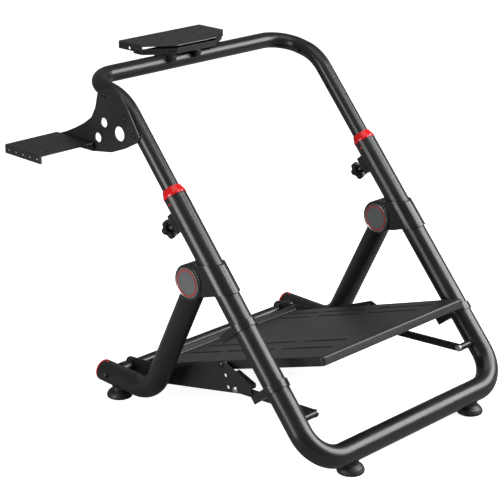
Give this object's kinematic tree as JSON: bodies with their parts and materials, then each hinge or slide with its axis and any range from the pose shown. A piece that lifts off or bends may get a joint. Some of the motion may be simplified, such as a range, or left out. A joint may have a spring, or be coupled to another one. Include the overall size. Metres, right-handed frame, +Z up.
{
  "type": "racing wheel stand",
  "caption": "Folding tubular floor stand with a tilting wheel deck, a side shifter tray and a sloped pedal plate.",
  "frame": {"origin": "bottom centre of the bounding box, on the floor", "axes": "+Z up, +Y forward away from the driver, +X to the driver's right, where the shifter tray is"},
  "size_m": [0.8016, 0.8224, 0.769],
  "materials": {
    "black_paint": "satin black powder coat on steel",
    "red_plastic": "glossy red moulded plastic",
    "grey_cap": "satin grey cap with a bright rim",
    "zinc": "zinc-plated steel",
    "black_plastic": "matte black moulded plastic",
    "rubber": "matte black rubber",
    "black_steel": "black oxide steel fasteners"
  },
  "bodies": {
    "main_frame": {"lower_frame_tube": "black_paint", "collar_right": "red_plastic", "knob_boss_right": "black_plastic", "hinge_bracket_right": "black_paint", "hinge_axle_right": "grey_cap", "hinge_ring_right_outer": "red_plastic", "hinge_ring_right_inner": "red_plastic", "storage_clip_low_right": "black_plastic", "bumper_screw_right": "zinc", "front_foot_right": "rubber", "strut_pin_right": "black_steel", "collar_left": "red_plastic", "knob_boss_left": "black_plastic", "hinge_bracket_left": "black_paint", "hinge_axle_left": "grey_cap", "hinge_ring_left_outer": "red_plastic", "hinge_ring_left_inner": "red_plastic", "storage_clip_low_left": "black_plastic", "bumper_screw_left": "zinc", "front_foot_left": "rubber", "strut_pin_left": "black_steel", "storage_clip_high_right": "black_plastic"},
    "upper_frame": {"upper_frame_tube": "black_paint", "slide_bushing_right": "black_plastic", "slide_bushing_left": "black_plastic", "shifter_side_plate": "black_paint", "shifter_plate_bolt_1": "black_steel", "shifter_plate_bolt_2": "black_steel", "shifter_plate_bolt_3": "black_steel", "shifter_tray": "black_paint", "tray_bolt_1": "black_steel", "tray_bolt_2": "black_steel", "deck_bracket": "black_paint", "deck_hinge_bolt_right": "black_steel", "deck_hinge_bolt_left": "black_steel"},
    "knob_right": {"clamp_knob_right": "black_plastic", "clamp_screw_right": "zinc"},
    "knob_left": {"clamp_knob_left": "black_plastic", "clamp_screw_left": "zinc"},
    "wheel_deck": {"wheel_deck": "black_paint"},
    "legs": {"cross_tube": "black_paint", "leg_tube_right": "black_paint", "leg_plug_right": "red_plastic", "leg_bolt_right": "black_steel", "rear_foot_right": "rubber", "leg_tube_left": "black_paint", "leg_plug_left": "red_plastic", "leg_bolt_left": "black_steel", "rear_foot_left": "rubber"},
    "pedal_frame": {"pedal_side_plate_right": "black_paint", "elbow_bolt_right": "zinc", "tilt_bolt_right": "black_steel", "tilt_pivot_bolt_right": "black_steel", "pedal_side_plate_left": "black_paint", "elbow_bolt_left": "zinc", "tilt_bolt_left": "black_steel", "tilt_pivot_bolt_left": "black_steel"},
    "pedal_plate": {"pedal_plate": "black_paint"},
    "struts": {"strut_right": "black_paint", "strut_left": "black_paint"}
  },
  "joints": [
    {"name": "height_slide", "type": "slide", "parent": "main_frame", "child": "upper_frame", "axis": [0, -0.6572, 0.7537], "range_m": [-0.1, 0.1]},
    {"name": "knob_right_turn", "type": "hinge", "parent": "main_frame", "child": "knob_right", "pos_m": [0.2318, -0.04042, 0.45574], "axis": [0, -0.7537, -0.6572], "continuous": true},
    {"name": "knob_left_turn", "type": "hinge", "parent": "main_frame", "child": "knob_left", "pos_m": [-0.3662, -0.04042, 0.45574], "axis": [0, -0.7537, -0.6572], "continuous": true},
    {"name": "deck_tilt", "type": "hinge", "parent": "upper_frame", "child": "wheel_deck", "pos_m": [-0.0672, -0.34825, 0.7575], "axis": [1, 0, 0], "range_deg": [0, 10]},
    {"name": "leg_fold", "type": "hinge", "parent": "main_frame", "child": "legs", "pos_m": [-0.0672, 0.03495, 0.3575], "axis": [1, 0, 0], "range_deg": [0, 67.65]},
    {"name": "pedal_frame_fold", "type": "hinge", "parent": "legs", "child": "pedal_frame", "pos_m": [-0.0672, -0.25225, 0.052], "axis": [1, 0, 0], "range_deg": [0, 13.9]},
    {"name": "pedal_tilt", "type": "hinge", "parent": "pedal_frame", "child": "pedal_plate", "pos_m": [-0.0672, -0.17425, 0.0665], "axis": [1, 0, 0], "range_deg": [-11.5, 0]},
    {"name": "strut_fold", "type": "hinge", "parent": "pedal_frame", "child": "struts", "pos_m": [-0.0672, 0.08975, 0.104], "axis": [1, 0, 0], "range_deg": [-147.9, 0]}
  ],
  "couplings": [
    {"joint": "pedal_frame_fold", "follows": "leg_fold", "ratio": 0.20369},
    {"joint": "strut_fold", "follows": "leg_fold", "ratio": -2.1844}
  ]
}
